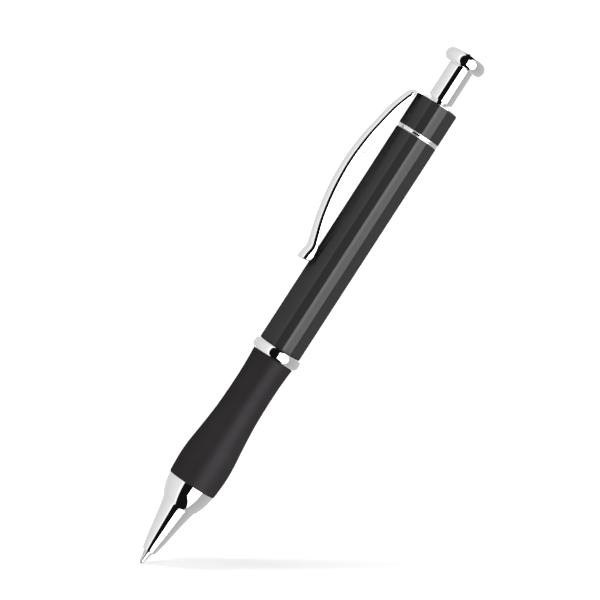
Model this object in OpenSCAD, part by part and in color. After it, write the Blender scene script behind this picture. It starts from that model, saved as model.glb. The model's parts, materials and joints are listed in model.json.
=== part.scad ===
// Retractable ballpoint pen: lacquered barrel, rubber grip, sprung clip and cam latch.
// Frame: +Z runs up the axis to the button, z 0 is the lowest point of the ball, the clip is on -X.
// Drawn with the button pressed right in and the writing tip out.

/* [Barrel] */
// Outside diameter of the barrel and of the cap sleeve
barrel_d = 10.6; // [10.4:0.1:10.8]
// Wall thickness of the barrel and of the cap sleeve
barrel_wall = 0.7; // [0.65:0.05:0.75]
// Height of the barrel's lower end
barrel_foot = 59.1; // [58:0.1:60]
// Height of the barrel's upper end
barrel_head = 117; // [116.5:0.1:117.5]
// Height of the narrow chrome trim ring
trim_h = 1.1; // [0.8:0.1:1.4]

/* [Centre ring] */
// Largest diameter of the centre ring's bulge
ring_d = 12.2; // [11.8:0.1:12.6]
// Height of the centre ring
ring_h = 2.7; // [2.4:0.1:3]

/* [Grip] */
// Diameter of the grip where it is widest
grip_bulge_d = 12.5; // [12.2:0.1:12.8]
// Diameter of the grip's waist
grip_waist_d = 9.75; // [9.6:0.05:10]

/* [Nose] */
// Diameter of the nose cone's front edge
nose_end_d = 3.2; // [3:0.1:3.4]
// Diameter of the nose cone at the crease in its side
nose_crease_d = 8.3; // [8:0.1:8.6]

/* [Button] */
// Overall length, from the ball to the button's top
overall = 139.8; // [139:0.1:141]
// Largest diameter of the button's head
button_d = 10.2; // [9.6:0.1:10.8]
// Diameter of the button's stem
stem_d = 6.15; // [5.9:0.05:6.2]
// Travel of the button between pressed in and released
travel = 6; // [5:0.5:6]

/* [Clip] */
// Radius of the clip's rounded crest
crest_round = 1.67; // [1.62:0.05:1.72]
// Half of the strip's width, measured round its section, where it is widest
leaf_half = 3.71; // [3.51:0.05:3.86]
// Thickness of the clip's metal
clip_t = 0.5; // [0.45:0.05:0.55]

/* [Section thread] */
// Pitch of the thread that holds the lower section
pitch = 1; // [1:0.1:1.2]
// Gap between the two threads
thread_gap = 0.12; // [0.12:0.01:0.15]

/* [Refill] */
// Diameter of the refill's tube
refill_d = 5.9; // [5.7:0.1:6]
// Diameter of the writing ball
ball_d = 0.9; // [0.8:0.1:1]
// Number of turns in the return spring
spring_turns = 7; // [6:1:8]

/* [Hidden] */
$fn = 96;

// Gap left between a part and the hole it slides or turns in
play = 0.05;
// Reach of a cutting tool past the face it cuts through
past = 1;

barrel_bore_d = barrel_d - 2 * barrel_wall;
ring_foot = barrel_foot - ring_h;

// Cap stack above the barrel
sleeve_foot = barrel_head + trim_h;
sleeve_top = 126;
cap_rim_h = 0.1;
cap_top = 127.15;
spigot_d = 7.2;
cap_top_d = stem_d + 0.8;
bulge_angle = 84;
bulge_step = 12;

// Button
head_foot = overall - 3.8;
head_flat_d = 7;
head_edge = 0.3;
head_edge_h = 0.1;
head_round = 1.5;
head_round_h = 1.8;
head_turn = 60;
head_turn_step = 10;
head_spigot = 5;
stem_bore_d = 5;
stem_hole_d = stem_d + 2 * play;

// Cam latch
housing_foot = 100;
housing_top = 122;
skirt_bore_d = 7.9;
ridge_foot = 110.2;
ridge_bore_d = 6.6;
slot_w = 1.5;
notch_side = slot_w / 2 + 0.1;
cam_d = 6.2;
key_d = 7.6;
key_w = 1.2;
keys = 4;
teeth = 8;
tooth_h = 0.9;
tooth_lead = 0.8;
rotor_foot = 98;
rotor_neck = 104;
tooth_root = 110;
tooth_tip = tooth_root + tooth_h;
thrust_tip = tooth_tip + play;
thrust_root = thrust_tip + tooth_h;
thrust_top = housing_top - travel - play;
pin_d = 3;
pin_reach = 4.5;
pin_hole_reach = 5;
plug_h = 6;
thrust_key_clear = 0.6;
thrust_key_top = thrust_top - 0.5;
rotor_foot_d = 4.6;
rotor_key_foot = rotor_neck + 2;
rotor_key_low = tooth_root - 0.9;
rotor_key_high = tooth_root - 0.1;
notch_low = 0.1;
notch_high = 0.9;

// Lower section
core_d = 8.2;
core_bore_d = 6.3;
core_foot = 17.6;
grip_foot = 21.7;
nose_foot = 3.2;
crease_z = 15.9;
spring_seat = 11.5;
tip_hole_d = 2.5;
tip_hole_top = 8;
nose_bore_d = 3.5;
spring_bore_d = 5.2;
grip_steps = 24;
nose_low_steps = 14;
nose_high_steps = 8;

// Thread: male crest and root radii, the rib's half widths in pitches, and the stretch it covers
crest_r = 4.05;
root_r = 3.65;
rib_base_r = 3.35;
rib_base_half = 0.33;
rib_crest_half = 0.1;
thread_foot = barrel_foot + 0.9;
thread_turns = 3.5;
core_top = barrel_foot + 5.4;
insert_top = barrel_foot + 7;
thread_steps = 16;

// Refill
shoulder = 17.3;
neck_foot = 10;
neck_d = 3.2;
tube_foot = 19;
tube_top = 92;
refill_bore_d = refill_d - 0.6;
ink_foot = 24;
ink_top = 78;
follower_h = 3;
ball_z = ball_d / 2;
ball_gap = 0.02;
collar_d = 4.8;
collar_h = 0.2;
collar_slope = 0.6;
ink_hole_d = 1.2;
socket_d = 1.6;
socket_h = 3;
tip_rim_z = 0.33;
tip_rim_d = ball_d + 0.16;
tip_d = 2.2;
tip_cone_top = 3.13;
tip_hole_small_d = 0.5;
plug_reach = 2;

// Return spring
wire_d = 0.44;
coil_d = 4.16;
spring_steps = 20;
wire_sides = 6;
end_rise = 0.53;
seat_gap = 0.02;
open_pitch = (shoulder - spring_seat - wire_d - 2 * end_rise - 2 * seat_gap) / (spring_turns - 2);

// Clip: hinge line of the bend where the arm leaves the collar's tab
bend_x = -5.75;
tab_w = 3;
bend_z = sleeve_top + clip_t / 2;
bend_gap = 0.05;
heel_nub_z = 82.6;
heel_nub_d = 1.4;
clip_stations = 40;
clip_side_points = 7;
wing_angle = 85;
heel_cut = 0.34;
heel_cut_end = 2;
clip_last = 16;
clip_look = 0.05;

// Clip arm, from its heel (0) to its root (16): radius and height of the crest's line
clip_r = [[0, 8.72], [1, 8.56], [2, 8.28], [3, 8.8], [4, 9.97], [5, 10.82], [6, 11.57],
          [7, 11.89], [8, 11.98], [9, 11.78], [10, 11.36], [11, 10.73], [12, 9.81], [13, 8.82],
          [14, 7.93], [15, 6.95], [16, -bend_x]];
clip_z = [[0, 79.25], [1, 81], [2, 82.9], [3, 84.8], [4, 88.7], [5, 92.5], [6, 96.8],
          [7, 100.8], [8, 104.3], [9, 108], [10, 111.7], [11, 115], [12, 119.6], [13, 122.65],
          [14, 124.9], [15, 125.95 + clip_t / 10], [16, sleeve_top + clip_t]];
// Half width of the strip, measured round its section
clip_half = [[0, 3.7], [1, 3.79], [2, 3.29], [3, 3.02], [4, 3.08], [5, 2.8], [6, 2.92],
             [7, 3.07], [8, 3.27], [9, 3.41], [10, leaf_half], [11, leaf_half - 0.09],
             [12, 2.7], [13, 2.5], [14, 2.3], [15, 2], [16, tab_w / 2]];
// Radius of the crest's curve across the strip; it flattens out towards the root
clip_round = [[0, crest_round + 0.38], [1, crest_round + 0.31], [2, crest_round + 0.27],
              [3, crest_round + 0.21], [4, crest_round + 0.09], [5, crest_round + 0.05],
              [6, crest_round + 0.07], [7, crest_round], [8, crest_round - 0.04],
              [9, crest_round - 0.07], [10, crest_round - 0.13], [11, crest_round - 0.21],
              [12, crest_round - 0.22], [13, crest_round - 0.25], [14, crest_round - 0.22],
              [15, 1.8], [16, 9]];

// Radius of the rubber grip, by height
grip_knots = [[grip_foot, 5.98], [24, 6.15], [27, grip_bulge_d / 2], [30, 6.1], [34, 5.65],
              [38, 5.26], [42, 4.99], [49, grip_waist_d / 2], [53, 4.98], [ring_foot, 5.2]];
// Radius of the nose cone, by height, below and above its crease
nose_low = [[nose_foot, nose_end_d / 2], [4.2, 1.88], [6, 2.27], [8, 2.61], [10, 2.95],
            [12, 3.31], [14, 3.7], [crease_z, nose_crease_d / 2]];
nose_high = [[crease_z, nose_crease_d / 2], [17.4, 4.92], [18.8, 5.42], [20.2, 5.73],
             [grip_foot, 5.94]];

// Index of the knot below height z
function knot_below(k, z, i = 0) =
  (i >= len(k) - 2 || z <= k[i + 1][0]) ? i : knot_below(k, z, i + 1);

// Slope of the smooth curve at knot i
function knot_slope(k, i) =
  let (a = max(i - 1, 0), b = min(i + 1, len(k) - 1))
  (k[b][1] - k[a][1]) / (k[b][0] - k[a][0]);

// Value at height z of the smooth curve through knots [height, value]
function smooth(k, z) =
  let (i = knot_below(k, z), span = k[i + 1][0] - k[i][0], t = (z - k[i][0]) / span)
  k[i][1] * (1 + 2 * t) * (1 - t) * (1 - t)
  + k[i + 1][1] * t * t * (3 - 2 * t)
  + span * knot_slope(k, i) * t * (1 - t) * (1 - t)
  - span * knot_slope(k, i + 1) * t * t * (1 - t);

// Points [value, height] along the smooth curve, in n equal steps of height
function curve(k, n) =
  let (low = k[0][0], high = k[len(k) - 1][0])
  [for (s = [0 : n]) let (z = low + (high - low) * s / n) [smooth(k, z), z]];

// The same list of points in the opposite order
function reversed(p) = [for (i = [len(p) - 1 : -1 : 0]) p[i]];

// Straight tube between two heights
module tube(outer_d, bore_d, low, high)
  difference() {
    translate([0, 0, low])
      cylinder(d = outer_d, h = high - low);
    translate([0, 0, low - past])
      cylinder(d = bore_d, h = high - low + 2 * past);
  }

// Solid round bar between two heights
module bar(outer_d, low, high)
  translate([0, 0, low])
    cylinder(d = outer_d, h = high - low);

// Prism that runs straight out from the axis at an angle; its outline is [sideways, height]
module spoke(angle, reach, outline)
  rotate([0, 0, angle])
    rotate([90, 0, 90])
      linear_extrude(height = reach)
        polygon(outline);

// Ring of ratchet teeth; up is 1 for teeth that point up and -1 for teeth that point down
module ratchet(root, up)
  let (half = cam_d / 2 * tan(180 / teeth))
  for (i = [0 : teeth - 1])
    spoke(i * 360 / teeth, cam_d,
          [[-half, root - up * tooth_h / 2], [-half, root], [half * tooth_lead, root + up * tooth_h],
           [half, root], [half, root - up * tooth_h / 2]]);

// Closed skin over a row of outlines, each a list of points, with flat ends
module loft(rows) {
  n = len(rows[0]);
  last = len(rows) - 1;
  polyhedron(
    points = [for (row = rows) for (p = row) p],
    faces = concat(
      [[for (i = [n - 1 : -1 : 0]) i]],
      [[for (i = [0 : n - 1]) last * n + i]],
      [for (s = [0 : last - 1]) for (i = [0 : n - 1])
        [s * n + i, s * n + (i + 1) % n, (s + 1) * n + (i + 1) % n]],
      [for (s = [0 : last - 1]) for (i = [0 : n - 1])
        [s * n + i, (s + 1) * n + (i + 1) % n, (s + 1) * n + i]]));
}

// Wire or thread rib: an outline of [radius, height] carried along a path of [angle, height]
module coil(path, outline)
  loft([for (s = path) [for (p = outline)
        [p[0] * cos(s[0]), p[0] * sin(s[0]), s[1] + p[1]]]]);

// Rib of the section thread, grown outwards by a gap; its base is sunk inside the root
module thread_rib(first_turn, turns, gap)
  coil([for (s = [0 : turns * thread_steps])
        [s * 360 / thread_steps, thread_foot + pitch * (first_turn + s / thread_steps)]],
       [[rib_base_r, -rib_base_half * pitch - gap],
        [crest_r + gap, -rib_crest_half * pitch - gap / 2],
        [crest_r + gap, rib_crest_half * pitch + gap / 2],
        [rib_base_r, rib_base_half * pitch + gap]]);

// Chrome head of the button, with the spigot that holds it in the stem
module button_head()
  color("silver")
  rotate_extrude()
    polygon(concat(
      [[0, head_foot - head_spigot], [stem_bore_d / 2, head_foot - head_spigot],
       [stem_bore_d / 2, head_foot]],
      [for (a = [-90 : head_turn_step : head_turn])
        [button_d / 2 - head_round + head_round * cos(a),
         head_foot + head_round_h + head_round_h * sin(a)]],
      [[head_flat_d / 2 + head_edge, overall - head_edge_h], [head_flat_d / 2, overall],
       [0, overall]]));

// Chrome tube that carries the head down to the thrust cam
module button_stem()
  color("silver")
  tube(stem_d, stem_bore_d, thrust_top, head_foot);

// Plastic cam under the button: keys ride in the housing's slots, teeth push the rotor round
module thrust_cam()
  color("ivory") {
    intersection() {
      bar(cam_d, thrust_tip - past, thrust_top);
      union() {
        bar(cam_d, thrust_root, thrust_top);
        ratchet(thrust_root, -1);
      }
    }
    bar(pin_d, tooth_root - pin_reach, thrust_root + past);
    bar(stem_bore_d, thrust_top - past, thrust_top + plug_h);
    for (i = [0 : keys - 1])
      spoke(i * 360 / keys, key_d / 2,
            [[-key_w / 2, thrust_root + thrust_key_clear],
             [key_w / 2, thrust_root + thrust_key_clear],
             [key_w / 2, thrust_key_top], [-key_w / 2, thrust_key_top]]);
  }

// Plastic rotor: its ribs index round the housing's ridges and its foot pushes the refill
module rotor_cam()
  color("gainsboro")
  difference() {
    union() {
      bar(rotor_foot_d, rotor_foot, rotor_neck + past);
      intersection() {
        bar(cam_d, rotor_neck, tooth_tip + past);
        union() {
          bar(cam_d, rotor_neck, tooth_root);
          ratchet(tooth_root, 1);
        }
      }
      intersection() {
        bar(key_d, rotor_neck, tooth_root);
        for (i = [0 : keys - 1])
          spoke(i * 360 / keys, key_d,
                [[-key_w / 2, rotor_key_foot], [key_w / 2, rotor_key_foot],
                 [key_w / 2, rotor_key_low], [-key_w / 2, rotor_key_high]]);
      }
    }
    bar(pin_d + 2 * play, tooth_root - pin_hole_reach, tooth_tip + past);
  }

// Plastic housing: slots let the rotor's ribs rise, notched ridges between them hold the tip out
module cam_housing()
  color("white")
  difference() {
    bar(barrel_bore_d, housing_foot, housing_top);
    bar(ridge_bore_d, housing_foot - past, housing_top + past);
    bar(skirt_bore_d, housing_foot - past, ridge_foot);
    intersection() {
      bar(skirt_bore_d, housing_foot, housing_top + past);
      union() {
        for (i = [0 : keys - 1])
          spoke(i * 360 / keys, skirt_bore_d,
                [[-slot_w / 2, ridge_foot - past], [slot_w / 2, ridge_foot - past],
                 [slot_w / 2, housing_top + past], [-slot_w / 2, housing_top + past]]);
        for (i = [0 : keys - 1])
          spoke((i + 0.5) * 360 / keys, skirt_bore_d,
                [[-slot_w / 2, ridge_foot - past], [notch_side, ridge_foot - past],
                 [notch_side, ridge_foot + notch_low], [-slot_w / 2, ridge_foot + notch_high]]);
      }
    }
  }

// Chrome cap: a cone on the sleeve, with a slot for the clip's tab and a hole for the stem
module top_cap()
  color("silver")
  difference() {
    union() {
      bar(spigot_d, housing_top, sleeve_top + past / 2);
      bar(barrel_d, sleeve_top, sleeve_top + cap_rim_h);
      translate([0, 0, sleeve_top + cap_rim_h])
        cylinder(d1 = barrel_d, d2 = cap_top_d, h = cap_top - sleeve_top - cap_rim_h);
    }
    translate([-barrel_d, -tab_w / 2 - bend_gap, sleeve_top - past / 2])
      cube([barrel_d - spigot_d / 2, tab_w + 2 * bend_gap, clip_t + past / 2]);
    bar(stem_hole_d, housing_top - past, cap_top + past);
  }

// Chrome collar pressed into the sleeve, with the tab that the clip arm bends down from
module clip_collar()
  color("silver")
  difference() {
    union() {
      bar(barrel_bore_d, housing_top, sleeve_top);
      translate([bend_x + clip_t / 2 + bend_gap, -tab_w / 2, sleeve_top - past / 2])
        cube([-bend_x - clip_t / 2 - bend_gap - spigot_d / 2, tab_w, clip_t + past / 2]);
    }
    bar(spigot_d, housing_top - past, sleeve_top + past);
    difference() {
      bar(2 * barrel_d, sleeve_top - past, sleeve_top);
      bar(barrel_bore_d, sleeve_top - 2 * past, sleeve_top + past);
    }
  }

// Point of the clip's crest line at station u, as [radius, height]
function clip_at(u) = [smooth(clip_r, u), smooth(clip_z, u)];

// Direction of the crest line at station u, towards the root
function clip_way(u) =
  let (d = clip_at(min(u + clip_look, clip_last)) - clip_at(max(u - clip_look, 0)))
  d / norm(d);

// Point of the clip's section: s is the distance round it from the crest, in is the depth inside
function clip_point(u, s, in) =
  let (r = smooth(clip_round, u),
       turned = min(abs(s) / r * 180 / PI, wing_angle),
       straight = max(abs(s) - r * wing_angle * PI / 180, 0),
       drop = r - (r - in) * cos(turned) + straight * sin(turned),
       side = sign(s) * ((r - in) * sin(turned) + straight * cos(turned)),
       way = clip_way(u),
       shift = heel_cut * drop * max(1 - u / heel_cut_end, 0),
       at = clip_at(u) + [-way[1], way[0]] * drop + way * shift)
  [-at[0], side, at[1]];

// Chrome clip arm: a bowed channel that swells near its top and ends in a heel by the barrel
module clip_arm()
  color("silver") {
    loft([for (j = [0 : clip_stations])
          let (u = clip_last * j / clip_stations, half = smooth(clip_half, u))
          concat([for (i = [-clip_side_points : clip_side_points])
                  clip_point(u, half * i / clip_side_points, 0)],
                 [for (i = [clip_side_points : -1 : -clip_side_points])
                  clip_point(u, half * i / clip_side_points, clip_t)])]);
    translate([bend_x, 0, bend_z])
      rotate([90, 0, 0])
        cylinder(d = clip_t, h = tab_w, center = true);
    translate([-clip_r[2][1] + clip_t / 2, 0, heel_nub_z])
      rotate([0, 90, 0])
        cylinder(d = heel_nub_d, h = clip_r[2][1] - clip_t / 2 - barrel_d / 2 - bend_gap);
  }

// Lacquered sleeve between the trim ring and the clip's collar
module cap_sleeve()
  color("#151516")
  tube(barrel_d, barrel_bore_d, sleeve_foot, sleeve_top);

// Narrow chrome ring between the barrel and the cap sleeve
module trim_ring()
  color("silver")
  tube(barrel_d, barrel_bore_d, barrel_head, sleeve_foot);

// Lacquered barrel tube
module barrel()
  color("#151516")
  tube(barrel_d, barrel_bore_d, barrel_foot, barrel_head);

// Brass insert in the barrel's lower end, with the female thread
module thread_insert()
  color("goldenrod")
  difference() {
    bar(barrel_bore_d, barrel_foot, insert_top);
    bar(2 * (root_r + thread_gap), barrel_foot - past, insert_top + past);
    thread_rib(-3, 12, thread_gap);
  }

// Bulged chrome ring between the grip and the barrel
module center_ring()
  color("silver")
  rotate_extrude()
    polygon(concat(
      [[core_d / 2, ring_foot]],
      [for (a = [-bulge_angle : bulge_step : bulge_angle])
        [barrel_d / 2 + (ring_d - barrel_d) / 2 * cos(a),
         ring_foot + ring_h / 2 * (1 + sin(a) / sin(bulge_angle))]],
      [[core_d / 2, barrel_foot]]));

// Plastic core under the grip, with the male thread at its upper end
module grip_core()
  color("dimgray")
  difference() {
    union() {
      bar(core_d, core_foot, ring_foot);
      bar(core_d - 2 * play, core_foot, barrel_foot);
      bar(2 * root_r, core_foot, core_top);
      thread_rib(0, thread_turns, 0);
    }
    bar(core_bore_d, core_foot - past, core_top + past);
  }

// Rubber sleeve of the grip, waisted above and swelling below
module rubber_grip()
  color("#2c2a2b")
  difference() {
    rotate_extrude()
      polygon(concat([[0, grip_foot]], curve(grip_knots, grip_steps), [[0, ring_foot]]));
    bar(core_d, grip_foot - past, ring_foot + past);
  }

// Chrome nose cone, with the spring's seat inside and a cup for the grip core
module nose_cone()
  color("silver")
  difference() {
    rotate_extrude()
      polygon(concat([[0, nose_foot]], curve(nose_low, nose_low_steps),
                     curve(nose_high, nose_high_steps),
                     [[0, grip_foot]]));
    bar(tip_hole_d, nose_foot - past, tip_hole_top + past);
    bar(nose_bore_d, tip_hole_top, spring_seat + past);
    bar(spring_bore_d, spring_seat, core_foot + past);
    bar(core_d, core_foot, grip_foot + past);
  }

// Steel spring between the nose cone's seat and the refill's shoulder; its end turns are close
module return_spring()
  color("lightsteelblue")
  coil([for (s = [0 : spring_turns * spring_steps])
        let (t = s / spring_steps)
        [t * 360, spring_seat + seat_gap + wire_d / 2 + end_rise * min(t, 1)
                  + open_pitch * min(max(t - 1, 0), spring_turns - 2)
                  + end_rise * max(t - spring_turns + 1, 0)]],
       [for (i = [0 : wire_sides - 1])
        let (a = i * 360 / wire_sides)
        [coil_d / 2 + wire_d / 2 * cos(a), wire_d / 2 * sin(a)]]);

// Metal tube of the refill
module refill_tube()
  color("lightgray")
  tube(refill_d, refill_bore_d, tube_foot, tube_top);

// Plastic neck of the refill: holds the tip, and its shoulder takes the spring
module refill_neck()
  color("white")
  difference() {
    union() {
      bar(neck_d, neck_foot, shoulder + past);
      bar(collar_d, shoulder, shoulder + collar_h);
      translate([0, 0, shoulder + collar_h])
        cylinder(d1 = collar_d, d2 = refill_d, h = collar_slope);
      bar(refill_d, shoulder + collar_h + collar_slope, tube_foot);
      bar(refill_bore_d, tube_foot - past, ink_foot);
    }
    bar(ink_hole_d, neck_foot - past, ink_foot + past);
    bar(socket_d, neck_foot - past, neck_foot + socket_h);
  }

// Metal writing tip: a cone with the ball's socket and the ink channel
module refill_tip()
  color("silver")
  difference() {
    union() {
      translate([0, 0, tip_rim_z])
        cylinder(d1 = tip_rim_d, d2 = tip_d, h = tip_cone_top - tip_rim_z);
      bar(tip_d, tip_cone_top, neck_foot);
      bar(socket_d, neck_foot - past, neck_foot + socket_h);
    }
    translate([0, 0, ball_z])
      sphere(d = ball_d + 2 * ball_gap);
    bar(tip_hole_small_d, ball_z, neck_foot + socket_h + past);
  }

// Writing ball
module writing_ball()
  color("gray")
  translate([0, 0, ball_z])
    sphere(d = ball_d);

// Plastic plug in the refill's rear end, with an air vent
module refill_plug()
  color("white")
  difference() {
    union() {
      bar(refill_d, tube_top, rotor_foot);
      bar(refill_bore_d, tube_top - plug_reach, tube_top + past);
    }
    bar(ink_hole_d, tube_top - plug_reach - past, rotor_foot + past);
  }

// Ink in the refill's tube
module ink_column()
  color("#0a0a20")
  bar(refill_bore_d, ink_foot, ink_top);

// Grease that follows the ink down the tube
module ink_follower()
  color("lightyellow")
  bar(refill_bore_d, ink_top, ink_top + follower_h);

button_head();
button_stem();
thrust_cam();
rotor_cam();
cam_housing();
top_cap();
clip_collar();
clip_arm();
cap_sleeve();
trim_ring();
barrel();
thread_insert();
center_ring();
grip_core();
rubber_grip();
nose_cone();
return_spring();
refill_tube();
refill_neck();
refill_tip();
writing_ball();
refill_plug();
ink_column();
ink_follower();
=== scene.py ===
"""Looks for the retractable ballpoint pen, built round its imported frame."""
import json
import math

import bmesh
import bpy
import numpy as np
from mathutils import Matrix, Vector

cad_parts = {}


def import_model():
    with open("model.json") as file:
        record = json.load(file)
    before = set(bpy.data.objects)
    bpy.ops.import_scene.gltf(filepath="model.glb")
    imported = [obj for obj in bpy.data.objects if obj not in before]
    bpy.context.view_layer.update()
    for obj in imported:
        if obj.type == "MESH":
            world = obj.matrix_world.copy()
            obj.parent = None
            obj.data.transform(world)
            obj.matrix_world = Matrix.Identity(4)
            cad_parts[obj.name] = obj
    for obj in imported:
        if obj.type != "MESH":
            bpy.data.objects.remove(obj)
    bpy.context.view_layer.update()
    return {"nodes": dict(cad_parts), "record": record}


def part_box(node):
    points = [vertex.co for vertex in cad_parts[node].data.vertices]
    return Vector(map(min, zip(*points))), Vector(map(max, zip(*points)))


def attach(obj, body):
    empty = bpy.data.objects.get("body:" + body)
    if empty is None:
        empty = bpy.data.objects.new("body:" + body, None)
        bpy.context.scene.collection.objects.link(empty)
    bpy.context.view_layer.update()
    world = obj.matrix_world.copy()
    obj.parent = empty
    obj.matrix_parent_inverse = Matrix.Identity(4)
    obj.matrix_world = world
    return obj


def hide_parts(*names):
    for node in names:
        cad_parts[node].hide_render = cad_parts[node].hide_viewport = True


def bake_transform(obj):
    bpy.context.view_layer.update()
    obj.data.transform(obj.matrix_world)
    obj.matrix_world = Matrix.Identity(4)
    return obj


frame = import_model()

MM = 0.001
NODES = frame["nodes"]

# ---------------------------------------------------------------- view of the pen
CLIP_TURN = math.radians(-20)          # camera's place round the pen; the clip is at -X
LOOK_DOWN = math.radians(1)
LEAN = math.radians(32.91)             # the pen's axis in the picture, from upright towards the right
FACING = Vector((math.sin(CLIP_TURN), -math.cos(CLIP_TURN), 0))
TO_RIGHT = Vector((math.cos(CLIP_TURN), math.sin(CLIP_TURN), 0))
PEN_UP = Vector((0, 0, 1))
TO_CAMERA = FACING * math.cos(LOOK_DOWN) + PEN_UP * math.sin(LOOK_DOWN)
PEN_SEEN = PEN_UP * math.cos(LOOK_DOWN) - FACING * math.sin(LOOK_DOWN)
PICTURE_RIGHT = PEN_SEEN * math.sin(LEAN) + TO_RIGHT * math.cos(LEAN)
PICTURE_UP = PEN_SEEN * math.cos(LEAN) - TO_RIGHT * math.sin(LEAN)


# ---------------------------------------------------------------- node helpers
class Tree:
    """Short calls for making shader nodes."""

    def __init__(self, tree):
        self.tree = tree
        tree.nodes.clear()

    def add(self, kind, **inputs):
        """A new node; p_ before a name sets a property, the rest are inputs."""
        node = self.tree.nodes.new(kind)
        for key, value in inputs.items():
            if key.startswith("p_"):
                setattr(node, key[2:], value)
            else:
                self.put(node, key.replace("_", " "), value)
        return node

    def put(self, node, socket, value):
        """Feeds an input, named or numbered, with a socket, a node's first output or a plain value."""
        target = node.inputs[socket]
        if isinstance(value, bpy.types.NodeSocket):
            self.tree.links.new(value, target)
        elif hasattr(value, "outputs"):
            self.tree.links.new(value.outputs[0], target)
        else:
            target.default_value = value

    def math(self, operation, a, b=0.0, c=None):
        """One arithmetic step."""
        node = self.tree.nodes.new("ShaderNodeMath")
        node.operation = operation
        self.put(node, 0, a)
        self.put(node, 1, b)
        if c is not None:
            self.put(node, 2, c)
        return node.outputs[0]

    def dot(self, a, b):
        """Dot product of two vectors."""
        node = self.tree.nodes.new("ShaderNodeVectorMath")
        node.operation = "DOT_PRODUCT"
        self.put(node, 0, a)
        self.put(node, 1, b)
        return node.outputs["Value"]

    def step(self, x, low, high):
        """0 below low, 1 above high, smooth between."""
        node = self.tree.nodes.new("ShaderNodeMapRange")
        node.interpolation_type = "SMOOTHSTEP"
        self.put(node, "Value", x)
        self.put(node, "From Min", low)
        self.put(node, "From Max", high)
        return node.outputs["Result"]

    def remap(self, x, low, high, to_low, to_high):
        """Carries the range low..high to to_low..to_high."""
        node = self.tree.nodes.new("ShaderNodeMapRange")
        self.put(node, "Value", x)
        self.put(node, "From Min", low)
        self.put(node, "From Max", high)
        self.put(node, "To Min", to_low)
        self.put(node, "To Max", to_high)
        return node.outputs["Result"]

    def mix(self, factor, a, b):
        """Mixes two numbers."""
        node = self.tree.nodes.new("ShaderNodeMix")
        node.data_type = "FLOAT"
        self.put(node, 0, factor)
        self.put(node, 2, a)
        self.put(node, 3, b)
        return node.outputs[0]

    def mix_color(self, factor, a, b):
        """Mixes two colours."""
        node = self.tree.nodes.new("ShaderNodeMix")
        node.data_type = "RGBA"
        self.put(node, 0, factor)
        self.put(node, 6, a)
        self.put(node, 7, b)
        return node.outputs[2]

    def noise(self, scale, detail=3.0, stretch=(1, 1, 1), rough=0.55):
        """Noise fixed to the piece, drawn out along an axis whose stretch is below 1."""
        coord = self.tree.nodes.new("ShaderNodeTexCoord")
        mapping = self.add("ShaderNodeMapping")
        self.put(mapping, "Vector", coord.outputs["Object"])
        mapping.inputs["Scale"].default_value = stretch
        node = self.add("ShaderNodeTexNoise", Scale=scale, Detail=detail, Roughness=rough)
        self.put(node, "Vector", mapping)
        return node.outputs["Fac"]

    def bump(self, height, distance, strength=1.0, normal=None):
        """Normal roughened by a height."""
        node = self.add("ShaderNodeBump", Strength=strength, Distance=distance)
        self.put(node, "Height", height)
        if normal is not None:
            self.put(node, "Normal", normal)
        return node.outputs[0]

    def blend(self, factor, a, b):
        """Mixes two shaders."""
        node = self.tree.nodes.new("ShaderNodeMixShader")
        self.put(node, 0, factor)
        self.put(node, 1, a)
        self.put(node, 2, b)
        return node


def grey(v):
    """Opaque grey of a given value."""
    return (v, v, v, 1)


def new_material(name):
    """An empty material and its tree."""
    material = bpy.data.materials.new(name)
    material.use_nodes = True
    return material, Tree(material.node_tree)


def surface(tree, shader):
    """Ends a material's tree with its shader."""
    tree.put(tree.add("ShaderNodeOutputMaterial"), "Surface", shader)


CHROME_TINT = (0.934, 0.935, 0.937)
SATIN, PAINTED_DARK = 1.0, 2.0  # marks on the clip's vertices that its plating reads: satin roughness, or a painted dark reflection line


def chrome(name, rough=(0.015, 0.05), satin=None, marked=False):
    """Bright plating: smudged gloss, faint haze and hairlines. Satin, as (middle height, half height), leaves
    that band bright and makes the rest satin; a marked mesh is satin, or painted near black as a dark
    reflection line, where its marks say so."""
    material, t = new_material(name)
    smudge = t.noise(220, 4)
    hair = t.noise(2600, 2, (1, 1, 0.25))
    base = t.mix_color(t.noise(90, 3), (*[c * 0.97 for c in CHROME_TINT], 1), (*CHROME_TINT, 1))
    shader = t.add("ShaderNodeBsdfPrincipled", Metallic=1.0)
    gloss = t.remap(smudge, 0.3, 0.75, *rough)
    if satin:
        place = t.add("ShaderNodeSeparateXYZ")
        t.put(place, "Vector", t.tree.nodes.new("ShaderNodeTexCoord").outputs["Object"])
        off = t.math("ABSOLUTE", t.math("SUBTRACT", place.outputs["Z"], satin[0]))
        soft = 0.06 * MM
        gloss = t.mix(t.step(off, satin[1] - soft, satin[1] + soft), gloss, 0.42)
    if marked:
        mark = t.add("ShaderNodeAttribute", p_attribute_name="mark").outputs["Fac"]
        gloss = t.mix(t.step(mark, 0.2, SATIN), gloss, 0.34)
        # painted reflection: where marked, the plating's colour is made near black to stand for a dark
        # reflected line
        base = t.mix_color(t.step(mark, 1.1, 0.9 * PAINTED_DARK), base, grey(0.035))
    t.put(shader, "Base Color", base)
    t.put(shader, "Roughness", gloss)
    t.put(shader, "Normal", t.bump(hair, 0.0008 * MM, 0.15))
    surface(t, shader)
    return material


def metal(name, color, rough, scale=1500, stretch=(1, 1, 0.1), depth=0.004 * MM):
    """Drawn or turned metal with directional grain."""
    material, t = new_material(name)
    grain = t.noise(scale, 3, stretch)
    broad = t.noise(scale / 8, 3)
    dark = tuple(c * 0.78 for c in color)
    shader = t.add("ShaderNodeBsdfPrincipled", Metallic=1.0)
    t.put(shader, "Base Color", t.mix_color(broad, (*dark, 1), (*color, 1)))
    t.put(shader, "Roughness", t.remap(grain, 0.3, 0.7, rough * 0.7, rough * 1.3))
    t.put(shader, "Normal", t.bump(grain, depth, 0.6))
    surface(t, shader)
    return material


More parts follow.
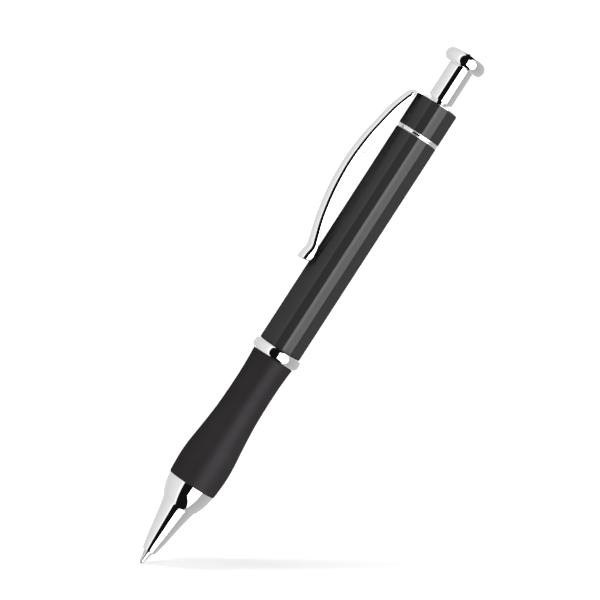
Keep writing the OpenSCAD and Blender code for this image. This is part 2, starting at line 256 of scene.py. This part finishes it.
def plastic(name, color, rough, see=0.0):
    """Moulded plastic: slight mottling, fine mould texture."""
    material, t = new_material(name)
    mottle = t.noise(400, 4)
    fine = t.noise(5000, 2)
    pale = tuple(min(1, c * 1.12 + 0.004) for c in color)
    shader = t.add("ShaderNodeBsdfPrincipled")
    t.put(shader, "Base Color", t.mix_color(mottle, (*color, 1), (*pale, 1)))
    t.put(shader, "Roughness", t.remap(mottle, 0.3, 0.7, rough * 0.85, rough * 1.15))
    t.put(shader, "Normal", t.bump(fine, 0.006 * MM, 0.4))
    t.put(shader, "Transmission Weight", see)
    surface(t, shader)
    return material


def lacquer(name):
    """Deep black lacquer: crisp reflections that fall off at the rim, painted shade under the clip (an
    occlusion term turns the colour near black and dims the reflection there); faint orange peel and
    hairlines."""
    material, t = new_material(name)
    peel = t.noise(700, 2)
    hair = t.noise(1600, 3, (1, 1, 0.06))
    dust = t.noise(9000, 2)
    normal = t.bump(peel, 0.0012 * MM, 0.2)
    normal = t.bump(hair, 0.0006 * MM, 0.2, normal)
    facing = t.add("ShaderNodeLayerWeight", Blend=0.5).outputs["Facing"]
    rim = t.step(facing, 0.62, 0.80)
    # painted shade: where the occlusion term is low, beside and under the clip, the lacquer's colour goes to
    # near black
    painted_shade_ao = t.add("ShaderNodeAmbientOcclusion", Distance=8 * MM, p_samples=6).outputs["AO"]
    lit = t.remap(painted_shade_ao, 0.62, 0.9, 0.3, 1.0)
    depth = t.add("ShaderNodeBsdfDiffuse", Roughness=0.3)
    body = t.mix_color(dust, grey(0.036), grey(0.042))
    t.put(depth, "Color", t.mix_color(lit, grey(0.008), body))
    gloss = t.add("ShaderNodeBsdfAnisotropic", Color=grey(1.0))
    t.put(gloss, "Roughness", t.remap(hair, 0.3, 0.7, 0.04, 0.07))
    t.put(gloss, "Normal", normal)
    # painted shade in the reflection too: the gloss share drops where the occlusion term is low
    share = t.math("MULTIPLY", t.mix(rim, 0.0222, 0.0085), lit)
    surface(t, t.blend(share, depth, gloss))
    return material


def rubber(name):
    """Matte black rubber: fine moulded grain, a little bloom and a soft broad sheen."""
    material, t = new_material(name)
    grain = t.noise(4200, 3, rough=0.6)
    bloom = t.noise(160, 4)
    depth = t.add("ShaderNodeBsdfDiffuse", Roughness=0.6)
    t.put(depth, "Color", t.mix_color(t.step(bloom, 0.3, 0.8),
                                      (0.0295, 0.0262, 0.0271, 1), (0.035, 0.0311, 0.0321, 1)))
    normal = t.bump(grain, 0.008 * MM, 0.4)
    t.put(depth, "Normal", normal)
    sheen = t.add("ShaderNodeBsdfAnisotropic", Color=(0.9, 0.9, 1.0, 1))
    t.put(sheen, "Roughness", t.remap(grain, 0.3, 0.7, 0.43, 0.51))
    t.put(sheen, "Normal", normal)
    facing = t.add("ShaderNodeLayerWeight", Blend=0.5).outputs["Facing"]
    surface(t, t.blend(t.mix(t.step(facing, 0.55, 0.85), 0.0118, 0.0058), depth, sheen))
    return material


# ---------------------------------------------------------------- shape helpers
TINY = 1e-7             # a length taken for nothing
SAME_POINT = 1e-8       # vertices closer than this are joined
FLAT_FACE = 0.04        # a face that leans in or out less than this is an end face
END_WEIGHT = 30         # how much harder a fitted outline holds to its ends
ROUNDING_SHARE = 0.49   # the most of an edge that a rounding may take up


def fillet(loop, steps=5):
    """Rounds the corners of a loop of (radius, height, rounding) points."""
    out = []
    n = len(loop)
    for i, (r, z, f) in enumerate(loop):
        if f <= 0:
            out.append((r, z))
            continue
        here = Vector((r, z))
        back = Vector(loop[i - 1][:2]) - here
        on = Vector(loop[(i + 1) % n][:2]) - here
        half = back.angle(on) / 2
        reach = min(f / math.tan(half), back.length * ROUNDING_SHARE, on.length * ROUNDING_SHARE)
        round_r = reach * math.tan(half)
        start, end = here + back.normalized() * reach, here + on.normalized() * reach
        centre = here + (back.normalized() + on.normalized()).normalized() * (round_r / math.sin(half))
        a, b = start - centre, end - centre
        turn = a.angle_signed(b)
        for k in range(steps + 1):
            angle = -turn * k / steps
            out.append((centre.x + a.x * math.cos(angle) - a.y * math.sin(angle),
                        centre.y + a.x * math.sin(angle) + a.y * math.cos(angle)))
    return out


def finish_mesh(name, verts, faces, sharp=38, marks=None):
    """Object from vertices and faces, smooth but for edges sharper than so many degrees. Marks, one to a
    vertex, are kept for the material."""
    mesh = bpy.data.meshes.new(name)
    mesh.from_pydata(verts, [], faces)
    work = bmesh.new()
    work.from_mesh(mesh)
    if marks:
        layer = work.verts.layers.float.new("mark")
        for vert, mark in zip(work.verts, marks):
            vert[layer] = mark
    bmesh.ops.remove_doubles(work, verts=work.verts, dist=SAME_POINT)
    bmesh.ops.recalc_face_normals(work, faces=work.faces)
    for face in work.faces:
        face.smooth = True
    for edge in work.edges:
        if len(edge.link_faces) == 2 and edge.calc_face_angle() > math.radians(sharp):
            edge.smooth = False
    work.to_mesh(mesh)
    work.free()
    piece = bpy.data.objects.new(name, mesh)
    bpy.context.scene.collection.objects.link(piece)
    return piece


def lathe(name, loop, steps=160):
    """Closed solid of revolution from a closed loop of (radius, height); points on the axis become poles."""
    verts, rings = [], []
    for r, z in loop:
        if r < TINY:
            rings.append([len(verts)])
            verts.append((0, 0, z))
        else:
            rings.append(list(range(len(verts), len(verts) + steps)))
            verts += [(r * math.cos(2 * math.pi * k / steps), r * math.sin(2 * math.pi * k / steps), z)
                      for k in range(steps)]
    faces = []
    for a, b in zip(rings, rings[1:] + rings[:1]):
        for k in range(steps):
            m = (k + 1) % steps
            if len(a) == 1 and len(b) == 1:
                continue
            if len(a) == 1:
                faces.append((a[0], b[m], b[k]))
            elif len(b) == 1:
                faces.append((a[k], a[m], b[0]))
            else:
                faces.append((a[k], a[m], b[m], b[k]))
    return finish_mesh(name, verts, faces)


def chains(node):
    """A turned CAD node's outer and inner outlines, each a list of (height, radius) read from its faces."""
    mesh = NODES[node].data
    sides = {1: {}, -1: {}}
    for face in mesh.polygons:
        way = Vector((face.center.x, face.center.y, 0))
        if way.length < TINY:
            continue
        lean = face.normal.dot(way.normalized())
        if abs(lean) < FLAT_FACE:
            continue
        side = sides[1 if lean > 0 else -1]
        for v in face.vertices:
            co = mesh.vertices[v].co
            radius = math.hypot(co.x, co.y)
            side.setdefault((round(co.z, 6), round(radius, 5)), radius)
    return [sorted((key[0], radius) for key, radius in sides[k].items()) for k in (1, -1)]


def spline(chain, z):
    """Smooth curve through a chain of (height, radius) points."""
    i = 0
    while i < len(chain) - 2 and z > chain[i + 1][0]:
        i += 1

    def slope(k):
        a, b = chain[max(k - 1, 0)], chain[min(k + 1, len(chain) - 1)]
        return (b[1] - a[1]) / (b[0] - a[0])

    (z0, r0), (z1, r1) = chain[i], chain[i + 1]
    span = z1 - z0
    t = (z - z0) / span
    return (r0 * (1 + 2 * t) * (1 - t) ** 2 + r1 * t * t * (3 - 2 * t)
            + span * slope(i) * t * (1 - t) ** 2 - span * slope(i + 1) * t * t * (1 - t))


def smooth_outline(chain, count):
    """Smooth curve through a chain of (height, radius) points, as (radius, height) points."""
    low, high = chain[0][0], chain[-1][0]
    return [(spline(chain, low + (high - low) * i / count), low + (high - low) * i / count)
            for i in range(count + 1)]


def cubic_outline(chain, count):
    """One cubic through a chain of (height, radius) points, its ends kept where the chain's are."""
    z, r = (np.array(values) / MM for values in zip(*chain))
    weight = np.ones(len(z))
    weight[[0, -1]] = END_WEIGHT
    fit = np.polynomial.Polynomial.fit(z, r, 3, w=weight)
    return [(float(fit(at)) * MM, float(at) * MM) for at in np.linspace(z[0], z[-1], count + 1)]


def tube_faces(rows, count):
    """Quads between rows of so many points, each row a closed ring."""
    faces = []
    for j in range(rows - 1):
        here, on = j * count, (j + 1) * count
        faces += [(here + i, here + (i + 1) % count, on + (i + 1) % count, on + i) for i in range(count)]
    return faces


def dress(piece, body, node, material):
    """Gives a piece its material and its body, and hides the CAD node it stands for, if any."""
    piece.data.materials.append(material)
    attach(piece, body)
    if node:
        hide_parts(node)


# ---------------------------------------------------------------- materials
plating = chrome("chrome_plating")
plating_clip = chrome("chrome_clip", rough=(0.015, 0.06), marked=True)
trim_low, trim_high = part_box("trim_ring")
plating_trim = chrome("chrome_trim", satin=((trim_low.z + trim_high.z) / 2, 0.19 * MM))
pin_steel = metal("pin_steel", (0.55, 0.55, 0.56), 0.38, 3000, (1, 1, 1), 0.002 * MM)
black_lacquer = lacquer("black_lacquer")
grip_rubber = rubber("grip_rubber")
LOOKS = {
    "cam_plastic": plastic("cam_plastic", (0.72, 0.71, 0.66), 0.4),
    "housing_plastic": plastic("housing_plastic", (0.78, 0.78, 0.76), 0.38),
    "core_plastic": plastic("core_plastic", (0.035, 0.035, 0.038), 0.45),
    "brass": metal("turned_brass", (0.78, 0.58, 0.26), 0.24),
    "spring_steel": metal("spring_steel", (0.60, 0.61, 0.63), 0.28),
    "refill_metal": metal("refill_metal", (0.74, 0.74, 0.76), 0.3),
    "tip_metal": metal("tip_metal", (0.80, 0.79, 0.77), 0.13, 2200, (1, 1, 3), 0.002 * MM),
    "ball_metal": metal("ball_metal", (0.25, 0.25, 0.27), 0.12, 6000, (1, 1, 1), 0.001 * MM),
    "ink": plastic("ink", (0.006, 0.006, 0.02), 0.08),
    "grease": plastic("grease", (0.62, 0.52, 0.25), 0.2, 0.5),
    "chrome": plating,
    "lacquer": black_lacquer,
    "grip_rubber": grip_rubber,
}
slot_of = {row["node"]: row["material_slot"] for row in frame["record"]["subparts"]}
for node_name, node_object in NODES.items():
    node_object.data.materials.clear()
    node_object.data.materials.append(LOOKS[slot_of[node_name]])


# ---------------------------------------------------------------- turned pieces
def tube_piece(name, node, body, material, edge, inner_edge=0.04 * MM):
    """Plain tube with softened edges."""
    outer, inner = chains(node)
    low, high = outer[0][0], outer[-1][0]
    outer_r, bore_r = outer[0][1], inner[0][1]
    loop = [(outer_r, low, edge), (outer_r, high, edge),
            (bore_r, high, inner_edge), (bore_r, low, inner_edge)]
    dress(lathe(name, fillet(loop)), body, node, material)


def head_piece():
    """Push head: rounded sides that roll over into a flat top, and the spigot below."""
    side_steps, roll_steps, flat_r, spigot_step = 32, 8, 3.2 * MM, 0.5 * MM
    outer = chains("button_head")[0]
    low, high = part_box("button_head")
    spigot_r = outer[0][1]
    foot_z, foot_r = next(p for p in outer if p[1] > spigot_r + spigot_step)
    widest_z, widest_r = max(outer, key=lambda p: p[1])
    bow, rise, stop = widest_r - foot_r, widest_z - foot_z, math.radians(60)
    loop = [(0, low.z, 0), (spigot_r, low.z, 0.2 * MM), (spigot_r, foot_z, 0)]
    for k in range(side_steps + 1):
        a = -math.pi / 2 + (math.pi / 2 + stop) * k / side_steps
        loop.append((foot_r + bow * math.cos(a), widest_z + rise * math.sin(a), 0))
    start = Vector(loop[-1][:2])
    way = Vector((-bow * math.sin(stop), rise * math.cos(stop)))
    corner = start + way * ((high.z - start.y) / way.y)
    end = Vector((flat_r, high.z))
    for k in range(1, roll_steps + 1):
        t = k / roll_steps
        p = start * (1 - t) ** 2 + corner * 2 * t * (1 - t) + end * t * t
        loop.append((p.x, p.y, 0))
    loop.append((0, high.z, 0))
    dress(lathe("push_head", fillet(loop)), "plunger", "button_head", plating)


def cap_piece():
    """Cone between the stem and the sleeve, with soft rims."""
    outer, inner = chains("top_cap")
    low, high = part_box("top_cap")
    spigot_r = outer[0][1]
    rim = max(outer, key=lambda p: p[1])
    near = 0.02 * MM
    rim_heights = [z for z, r in outer if abs(r - rim[1]) < near]
    rim_low, rim_high = min(rim_heights), max(rim_heights)
    top_r = min(r for z, r in outer if abs(z - high.z) < near)
    bore = inner[0][1]
    loop = [(bore, low.z, 0), (spigot_r, low.z, 0.1 * MM), (spigot_r, rim_low, 0),
            (rim[1], rim_low, 0.04 * MM), (rim[1], rim_high, 0.1 * MM),
            (top_r, high.z, 0.2 * MM), (bore, high.z, 0.08 * MM)]
    dress(lathe("cap_cone", fillet(loop)), "case", "top_cap", plating)


def ring_piece():
    """Bulged ring."""
    outer, inner = chains("center_ring")
    low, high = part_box("center_ring")
    steps, fullness, inner_edge = 32, 0.9, 0.05 * MM
    bore = min(r for z, r in inner)
    base = outer[0][1]
    bulge = high.x - base
    loop = [(bore, low.z, inner_edge)]
    for k in range(steps + 1):
        a = math.radians(-90 + k * 180 / steps)
        swell = math.cos(a) ** fullness if 0 < k < steps else 0
        loop.append((base + bulge * swell, (low.z + high.z) / 2 + (high.z - low.z) / 2 * math.sin(a), 0))
    loop.append((bore, high.z, inner_edge))
    dress(lathe("middle_ring", fillet(loop)), "ring", "center_ring", plating)


def grip_piece():
    """Waisted rubber sleeve with rounded ends."""
    outer, inner = chains("rubber_grip")
    bore = min(r for z, r in inner)
    line = smooth_outline(outer, 120)
    low, high = line[0], line[-1]
    edge = 0.22 * MM
    body_line = [p for p in line if low[1] + edge * 1.5 < p[1] < high[1] - edge * 1.5]
    loop = ([(bore, low[1], 0), (low[0], low[1], edge)] + [(r, z, 0) for r, z in body_line]
            + [(high[0], high[1], edge), (bore, high[1], 0)])
    dress(lathe("grip_sleeve", fillet(loop), steps=192), "section", "rubber_grip", grip_rubber)


def nose_piece():
    """Two smooth stretches that meet at a crisp crease, a rolled front lip and the stepped bore."""
    crease_z, lip, bore_lip, bore_edge, back_edge = 15.9 * MM, 0.22 * MM, 0.1 * MM, 0.03 * MM, 0.06 * MM
    outer, inner = chains("nose_cone")
    crease = next(i for i, p in enumerate(outer) if abs(p[0] - crease_z) < bore_edge)
    lower = cubic_outline(outer[:crease + 1], 60)
    upper = cubic_outline(outer[crease:], 40)
    low, high = lower[0], upper[-1]
    loop = [(r, z, bore_edge) for z, r in reversed(inner)]
    loop[-1] = (*loop[-1][:2], bore_lip)
    loop.append((*low, lip))
    loop += [(r, z, 0) for r, z in lower if z > low[1] + lip * 1.6]
    loop += [(r, z, 0) for r, z in upper[1:] if z < high[1] - bore_lip]
    loop.append((*high, back_edge))
    dress(lathe("nose_shell", fillet(loop), steps=192), "section", "nose_cone", plating)


def point_piece():
    """Writing tip: a fine cone with a turned shoulder and a crimped rim round the ball."""
    low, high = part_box("refill_tip")
    ball_low, ball_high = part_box("writing_ball")
    cone_top, holder_top, neck_r, channel = 3.13 * MM, 10 * MM, 0.8 * MM, 0.25 * MM
    ball_r = (ball_high.z - ball_low.z) / 2
    ball_z = ball_low.z + ball_r
    socket_r = ball_r + 0.02 * MM
    rim_in = math.sqrt(socket_r ** 2 - (ball_z - low.z) ** 2)
    holder = high.x
    start = math.asin((low.z - ball_z) / socket_r)
    stop = math.acos(channel / socket_r)
    steps = 14
    socket = []
    for k in range(steps + 1):
        a = start + (stop - start) * k / steps
        socket.append((socket_r * math.cos(a), ball_z + socket_r * math.sin(a), 0))
    loop = [(rim_in + 0.08 * MM, low.z, 0.03 * MM), (holder * 0.66, cone_top * 0.48, 0.4 * MM),
            (holder * 0.9, cone_top * 0.86, 0.2 * MM), (holder, cone_top, 0.1 * MM),
            (holder, holder_top, 0.05 * MM), (neck_r, holder_top, 0), (neck_r, high.z, 0.05 * MM),
            (channel, high.z, 0)] + socket[::-1]
    piece = lathe("point_cone", fillet(loop), steps=96)
    dress(piece, "refill", "refill_tip", LOOKS["tip_metal"])


# ---------------------------------------------------------------- clip
# Stations from heel to root, in mm: crest line (radius, height), half width round the section, its rounding
CREST = [(8.72, 79.25), (8.56, 81), (8.28, 82.9), (8.8, 84.8), (9.97, 88.7), (10.82, 92.5),
         (11.57, 96.8), (11.89, 100.8), (11.98, 104.3), (11.78, 108), (11.36, 111.7), (10.73, 115),
         (9.81, 119.6), (8.82, 122.65), (7.93, 124.9), (6.95, 126.0), (5.75, 126.5)]
STRIP_HALF = [3.7, 3.79, 3.29, 3.02, 3.08, 2.8, 2.92, 3.07, 3.27, 3.41, 3.71, 3.62, 2.7, 2.5, 2.3, 2, 1.5]
STRIP_ROUND = [2.05, 1.98, 1.94, 1.88, 1.76, 1.72, 1.74, 1.67, 1.63, 1.6, 1.54, 1.46, 1.45, 1.42, 1.45,
               1.8, 9]
STRIP_T = 0.5            # thickness of the strip
WING = math.radians(85)  # how far the strip is rolled before it runs straight
HEEL_LEAN = 0.34         # how far the heel's wings are swept along the strip
FIRST = 0.14             # where the strip starts, in stations
PAINTED_DARK_FROM = 0.95         # how far round the heel, in radians, its painted dark reflection line starts


def knot_curve(values, u):
    """Smooth value at station u of a list given at whole stations."""
    return spline(list(enumerate(values)), u)


def rounded_end(edge, before, mate, steps):
    """Rows that close the strip with a round rim past its last row."""
    made = []
    for k in range(1, steps + 1):
        a = math.pi / 2 * k / steps
        row = []
        for i, point in enumerate(edge):
            across = edge[mate[i]] - point
            on = (point - before[i]).normalized()
            row.append(point + across / 2 * (1 - math.cos(a)) + on * across.length / 2 * math.sin(a))
        made.append(row)
    return made


def clip_piece():
    """The clip's bowed strip: a rounded crest, wings that swell near its top, soft rims and a turned heel."""
    last = len(CREST) - 1
    radii, heights = zip(*CREST)
    stations, sides, rims, end_steps = 220, 18, 6, 5
    rim = STRIP_T / 2
    look = 0.02

    def at(u):
        return Vector((knot_curve(radii, u), knot_curve(heights, u)))

    rows, marks = [], []
    for j in range(stations + 1):
        u = FIRST + (last - FIRST) * j / stations
        here = at(u)
        way = (at(min(u + look, last)) - at(max(u - look, 0))).normalized()
        out_way = Vector((way.y, -way.x))
        curve_r = knot_curve(STRIP_ROUND, u)
        half = knot_curve(STRIP_HALF, u)

        def place(s, inside):
            """Point of the section: s is the distance round it from the crest, inside the depth."""
            turned = min(abs(s) / curve_r, WING)
            straight = max(abs(s) - curve_r * WING, 0)
            bow = curve_r - inside
            drop = curve_r - bow * math.cos(turned) + straight * math.sin(turned)
            side = math.copysign(bow * math.sin(turned) + straight * math.cos(turned), s)
            shift = HEEL_LEAN * drop * max(1 - u / 2, 0)
            p = here - out_way * drop + way * shift
            return Vector((-p.x * MM, side * MM, p.y * MM))

        flat = half - rim
        turns = [math.pi * k / rims for k in range(1, rims)]
        row = [place(flat * k / sides, 0) for k in range(-sides, sides + 1)]
        row += [place(flat + rim * math.sin(a), rim - rim * math.cos(a)) for a in turns]
        row += [place(flat * k / sides, STRIP_T) for k in range(sides, -sides - 1, -1)]
        row += [place(-flat - rim * math.sin(a), rim + rim * math.cos(a)) for a in turns]
        rows.append(row)
        marks.append([SATIN] + [0.0] * (2 * sides - 1) + [SATIN] * (rims + 1)
                     + [0.0] * (2 * sides - 1) + [SATIN] * rims)
        if j == 0:
            # the heel's wing ends get the painted dark reflection line
            wing_ends = [PAINTED_DARK if abs(k) / sides * flat / curve_r > PAINTED_DARK_FROM else SATIN
                         for k in range(-sides, sides + 1)]
            heel_marks = (wing_ends + [PAINTED_DARK] * (rims - 1)) * 2
    count = len(rows[0])
    mate = [(4 * sides + rims - i) % count for i in range(count)]
    marks = [heel_marks] * (end_steps + 1) + marks[1:] + [marks[-1]] * end_steps
    rows = (rounded_end(rows[0], rows[1], mate, end_steps)[::-1] + rows
            + rounded_end(rows[-1], rows[-2], mate, end_steps))
    piece = finish_mesh("clip_leaf", [p for row in rows for p in row], tube_faces(len(rows), count), 50,
                        [m for row in marks for m in row])
    dress(piece, "clip", "clip_arm", plating_clip)


def heel_nub():
    """Small pressed nub under the heel that rests by the barrel."""
    barrel_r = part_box("barrel")[1].x
    radius, reach, height = 0.7 * MM, 7.95 * MM, 82.6 * MM
    start = barrel_r + 0.05 * MM
    loop = [(0, start, 0), (radius, start, 0.3 * MM), (radius, reach, 0), (0, reach, 0)]
    piece = lathe("heel_nub", fillet(loop), steps=48)
    for v in piece.data.vertices:
        x, y, z = v.co
        v.co = (-z, y, height + x)
    dress(piece, "clip", None, plating_clip)


def hinge_pin():
    """The rolled bend where the clip's arm leaves the collar, with its round ends showing."""
    reach, radius, edge = 1.62 * MM, 0.28 * MM, 0.06 * MM
    bend_r, bend_z = 5.75 * MM, 126.16 * MM
    loop = [(0, -reach, 0), (radius, -reach, edge), (radius, reach, edge), (0, reach, 0)]
    piece = lathe("hinge_pin", fillet(loop), steps=40)
    for v in piece.data.vertices:
        x, y, z = v.co
        v.co = (x - bend_r, z, bend_z - y)
    dress(piece, "clip", None, pin_steel)


def spring_piece():
    """Round-wire return spring with closed end turns."""
    low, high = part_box("return_spring")
    wire, closed, turns = 0.22 * MM, 0.53 * MM, 7
    coil_r = high.x - wire
    free = (high.z - low.z - 2 * wire - 2 * closed) / (turns - 2)
    steps, around = 36, 12
    spokes = [2 * math.pi * i / around for i in range(around)]
    verts = []
    for k in range(turns * steps + 1):
        t = k / steps
        z = low.z + wire + closed * min(t, 1) + free * min(max(t - 1, 0), turns - 2)
        z += closed * max(t - turns + 1, 0)
        a = 2 * math.pi * t
        for b in spokes:
            r = coil_r + wire * math.cos(b)
            verts.append((r * math.cos(a), r * math.sin(a), z + wire * math.sin(b)))
    rows = turns * steps + 1
    faces = tube_faces(rows, around)
    faces += [tuple(range(around)), tuple((rows - 1) * around + i for i in range(around))]
    piece = finish_mesh("coil_spring", verts, faces, 60)
    piece.data.materials.append(LOOKS["spring_steel"])
    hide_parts("return_spring")
    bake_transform(piece)


tube_piece("barrel_skin", "barrel", "case", black_lacquer, 0.12 * MM)
tube_piece("sleeve_skin", "cap_sleeve", "case", black_lacquer, 0.12 * MM)
tube_piece("trim_band", "trim_ring", "case", plating_trim, 0.2 * MM)
tube_piece("push_stem", "button_stem", "plunger", plating, 0.05 * MM)
head_piece()
cap_piece()
ring_piece()
grip_piece()
nose_piece()
point_piece()
clip_piece()
heel_nub()
hinge_pin()
spring_piece()


# ---------------------------------------------------------------- studio
def world():
    """White for the camera. The pen sees a tall white panel to the right, a black card beside and over it,
    and grey walls. Directions are in degrees: turn round the pen from the camera, rise above its level, and
    aside towards the right."""
    scene_world = bpy.data.worlds.new("studio")
    bpy.context.scene.world = scene_world
    scene_world.use_nodes = True
    t = Tree(scene_world.node_tree)
    degrees = 180 / math.pi
    way = t.add("ShaderNodeTexCoord").outputs["Generated"]
    right = t.dot(way, TO_RIGHT)
    near = t.dot(way, FACING)
    up = t.dot(way, PEN_UP)
    turn = t.math("MULTIPLY", t.math("ARCTAN2", right, near), degrees)
    rise = t.math("MULTIPLY", t.math("ARCSINE", up), degrees)
    aside = t.math("MULTIPLY", t.math("ARCSINE", right), degrees)
    off_level = t.math("ABSOLUTE", up)
    off_middle = t.math("ABSOLUTE", right)

    def both(a, b):
        return t.math("MULTIPLY", a, b)

    def less(a, b):
        return t.math("SUBTRACT", a, b)

    def band(x, low, high, soft):
        return both(t.step(x, low - soft, low + soft), less(1.0, t.step(x, high - soft, high + soft)))

    # walls, with a white ceiling behind the pen
    left_wall = t.mix(t.step(turn, -52, -34), t.remap(turn, -110, -57, 0.72, 0.84), 1.12)
    right_wall = t.remap(turn, 64, 180, 0.44, 0.62)
    walls = t.mix(t.step(turn, 20, 30), left_wall, right_wall)
    behind = both(t.step(up, 0.45, 0.55), t.step(both(near, -1.0), 0.1, 0.35))
    ceiling = both(behind, less(1.0, t.step(off_middle, 0.22, 0.42)))

    # black card in front, and over and under the pen
    card = band(turn, -31, 65, 1.0)
    over_right = t.math("MULTIPLY_ADD", t.math("MINIMUM", near, 0.0), 41, 26)
    over = both(t.step(aside, -12, -9), t.math("LESS_THAN", aside, over_right))
    over = both(over, t.step(off_level, 0.68, 0.72))

    # white panel, cut slanting at its foot and its top, hottest along its near edge, and one far behind
    edge = 1.5
    foot = t.math("MULTIPLY_ADD", turn, -0.36, -26.8)
    above_foot = t.step(less(rise, foot), -edge, edge)
    top = t.math("MINIMUM", t.math("MULTIPLY_ADD", turn, 0.9, 22.3), 62)
    below_top = less(1.0, t.step(less(rise, top), -edge, edge))
    panel = both(band(turn, 13, 64.5, 1.0), both(above_foot, below_top))
    hot = t.mix(t.step(turn, 26, 31), 5.9, t.mix(t.step(turn, 50, 62), 4.3, 4.5))
    back_panel = both(band(t.math("ABSOLUTE", turn), 166, 177, 1.0), band(rise, -25, 60, 3))

    value = t.mix(ceiling, walls, 0.98)
    value = t.mix(t.math("MAXIMUM", card, over), value, 0.006)
    value = t.mix(panel, value, hot)
    value = t.mix(back_panel, value, 2.3)
    value = t.mix(t.add("ShaderNodeLightPath").outputs["Is Camera Ray"], value, 1.0)
    color = t.add("ShaderNodeCombineColor")
    for i in range(3):
        t.put(color, i, value)
    background = t.add("ShaderNodeBackground", Strength=1.0)
    t.put(background, "Color", color)
    t.put(t.add("ShaderNodeOutputWorld"), "Surface", background)


def studio_floor():
    """Pale floor under the tip, level in the main picture; seen from below it lets the view through. It goes
    down with the section, so the nose never passes through it."""
    rise = math.radians(10)
    normal = (PICTURE_UP * math.cos(rise) + TO_CAMERA * math.sin(rise)).normalized()
    across = PICTURE_RIGHT.normalized()
    deep = normal.cross(across)
    size, rings, spokes = 4.0, 10, 64
    base = -normal * 0.04 * MM
    verts = [tuple(base)]
    for j in range(1, rings + 1):
        for k in range(spokes):
            a = 2 * math.pi * k / spokes
            verts.append(tuple((across * math.cos(a) + deep * math.sin(a)) * (size * j / rings) + base))
    faces = [(0, 1 + k, 1 + (k + 1) % spokes) for k in range(spokes)]
    for j in range(rings - 1):
        for k in range(spokes):
            a, b = 1 + j * spokes + k, 1 + j * spokes + (k + 1) % spokes
            faces.append((a, a + spokes, b + spokes, b))
    mesh = bpy.data.meshes.new("studio_floor")
    mesh.from_pydata(verts, [], faces)
    floor = bpy.data.objects.new("studio_floor", mesh)
    bpy.context.scene.collection.objects.link(floor)
    material, t = new_material("studio_floor")
    diffuse = t.add("ShaderNodeBsdfDiffuse")
    t.put(diffuse, "Color", t.mix_color(t.noise(60, 3), grey(0.80), grey(0.82)))
    glow = t.add("ShaderNodeEmission", Color=grey(1.0), Strength=0.28)
    lit = t.add("ShaderNodeAddShader")
    t.put(lit, 0, diffuse)
    t.put(lit, 1, glow)
    facing = t.dot(t.add("ShaderNodeNewGeometry").outputs["Incoming"], normal)
    below = t.math("LESS_THAN", facing, 0.0)
    surface(t, t.blend(below, lit, t.add("ShaderNodeBsdfTransparent")))
    mesh.materials.append(material)
    floor.visible_glossy = False
    floor.visible_diffuse = False
    sink = floor.constraints.new("COPY_LOCATION")
    sink.target = bpy.data.objects["nose_shell"]
    return floor


def strip_light(floor):
    """A long soft light straight over the pen, as a row of small suns; it only shades the floor."""
    floor_only = bpy.data.collections.new("floor_only")
    floor_only.objects.link(floor)
    power, soft, lean_right, spread, each_side = 0.95, math.radians(6), 0.118, 0.13, 2
    count = 2 * each_side + 1
    for k in range(count):
        name = f"strip_{k}"
        data = bpy.data.lights.new(name, "SUN")
        data.energy = power / count
        data.angle = soft
        light = bpy.data.objects.new(name, data)
        bpy.context.scene.collection.objects.link(light)
        toward = PICTURE_UP + PICTURE_RIGHT * (lean_right + spread * (k - each_side))
        light.rotation_mode = "QUATERNION"
        light.rotation_quaternion = toward.to_track_quat("Z", "Y")
        light.light_linking.receiver_collection = floor_only


def camera():
    """Long lens nearly square to the pen, rolled so that the pen leans as it does in the picture."""
    distance, width, middle_z, aside = 0.800, 0.13857, 0.07105, 0.00214
    target = PEN_UP * middle_z - TO_RIGHT * aside
    data = bpy.data.cameras.new("camera")
    data.lens = data.sensor_width * distance / width
    data.clip_start, data.clip_end = 0.01, 10
    cam = bpy.data.objects.new("camera", data)
    bpy.context.scene.collection.objects.link(cam)
    cam.location = target + TO_CAMERA * distance
    turned = Matrix((PICTURE_RIGHT, PICTURE_UP, TO_CAMERA)).transposed()
    cam.rotation_mode = "QUATERNION"
    cam.rotation_quaternion = turned.to_quaternion()
    bpy.context.scene.camera = cam


world()
strip_light(studio_floor())
camera()
bpy.context.scene.view_settings.view_transform = "Standard"
bpy.context.scene.view_settings.look = "None"
